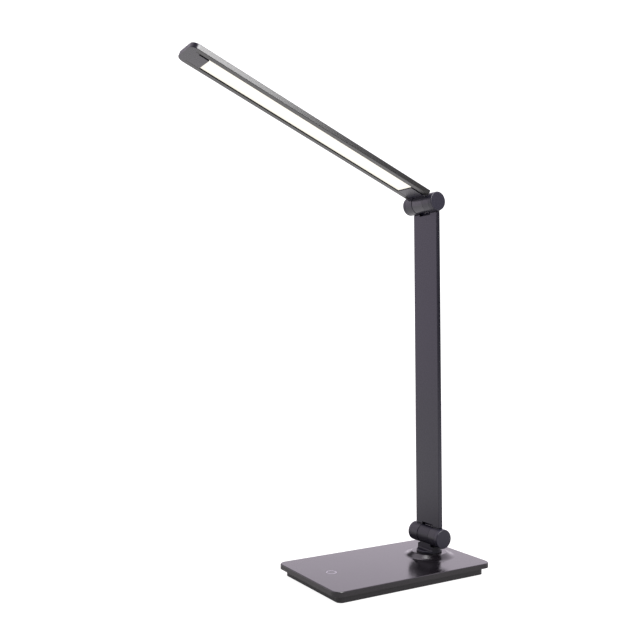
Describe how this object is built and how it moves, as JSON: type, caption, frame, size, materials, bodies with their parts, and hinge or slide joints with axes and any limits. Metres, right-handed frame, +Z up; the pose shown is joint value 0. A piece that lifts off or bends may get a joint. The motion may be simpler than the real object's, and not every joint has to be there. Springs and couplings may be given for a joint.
{
  "type": "led table lamp",
  "caption": "Folding desk lamp: weighted flat base with a touch ring, swivelling neck, flat tilting arm and a slim tilting bar head with a lit diffuser.",
  "frame": {"origin": "centre of the base's underside, on the desk", "axes": "+Z up, -Y the way the head points, X along the hinge pins"},
  "size_m": [0.101, 0.2903, 0.4554],
  "materials": {
    "satin_abs": "satin",
    "tray_abs": "satin",
    "pad_rubber": "matte",
    "bare_steel": "satin",
    "hardware_steel": "satin",
    "blackened_screws": "satin",
    "circuit_board": "satin",
    "conductive_foam": "matte",
    "ring_acrylic": "gloss",
    "cast_metal": "satin",
    "nylon": "satin",
    "anodised_arm": "satin",
    "anodised_head": "satin",
    "tip_abs": "satin",
    "cap_abs": "satin",
    "lead_pvc": "satin",
    "opal_acrylic": "satin",
    "clear_acrylic": "gloss",
    "white_film": "matte",
    "led_phosphor": "satin"
  },
  "bodies": {
    "base": {"base_cover": "satin_abs", "base_tray": "tray_abs", "anti_slip_pad": "pad_rubber", "ballast_plate": "bare_steel", "closing_screws": "hardware_steel", "control_board": "circuit_board", "board_screws": "hardware_steel", "touch_electrode": "conductive_foam", "touch_ring": "ring_acrylic", "cord_grommet": "pad_rubber"},
    "neck": {"neck_post": "cast_metal", "swivel_washer": "nylon", "stop_washer": "hardware_steel", "swivel_nut": "hardware_steel", "lower_hinge_pin": "hardware_steel", "lower_hinge_nut": "hardware_steel", "lower_hinge_washers": "nylon"},
    "arm": {"arm_tube": "anodised_arm", "lower_arm_bracket": "cast_metal", "upper_arm_bracket": "cast_metal", "arm_screws": "blackened_screws", "arm_lead": "lead_pvc", "lower_cap_left": "cap_abs", "lower_cap_right": "cap_abs", "upper_cap_left": "cap_abs", "upper_cap_right": "cap_abs"},
    "head": {"head_bracket": "cast_metal", "upper_hinge_pin": "hardware_steel", "upper_hinge_nut": "hardware_steel", "upper_hinge_washers": "nylon", "head_housing": "anodised_head", "head_tip": "tip_abs", "diffuser": "opal_acrylic", "light_guide": "clear_acrylic", "reflector_sheet": "white_film", "led_strips": "circuit_board", "leds": "led_phosphor"}
  },
  "joints": [
    {"name": "base_swivel", "type": "hinge", "parent": "base", "child": "neck", "pos_m": [0, 0.0529, 0.016], "axis": [0, 0, 1], "range_deg": [-45, 45]},
    {"name": "lower_tilt", "type": "hinge", "parent": "neck", "child": "arm", "pos_m": [0, 0.0529, 0.031], "axis": [1, 0, 0], "range_deg": [-30, 88]},
    {"name": "upper_tilt", "type": "hinge", "parent": "arm", "child": "head", "pos_m": [0, 0.04431, 0.3509], "axis": [1, 0, 0], "range_deg": [-65, 112]}
  ]
}
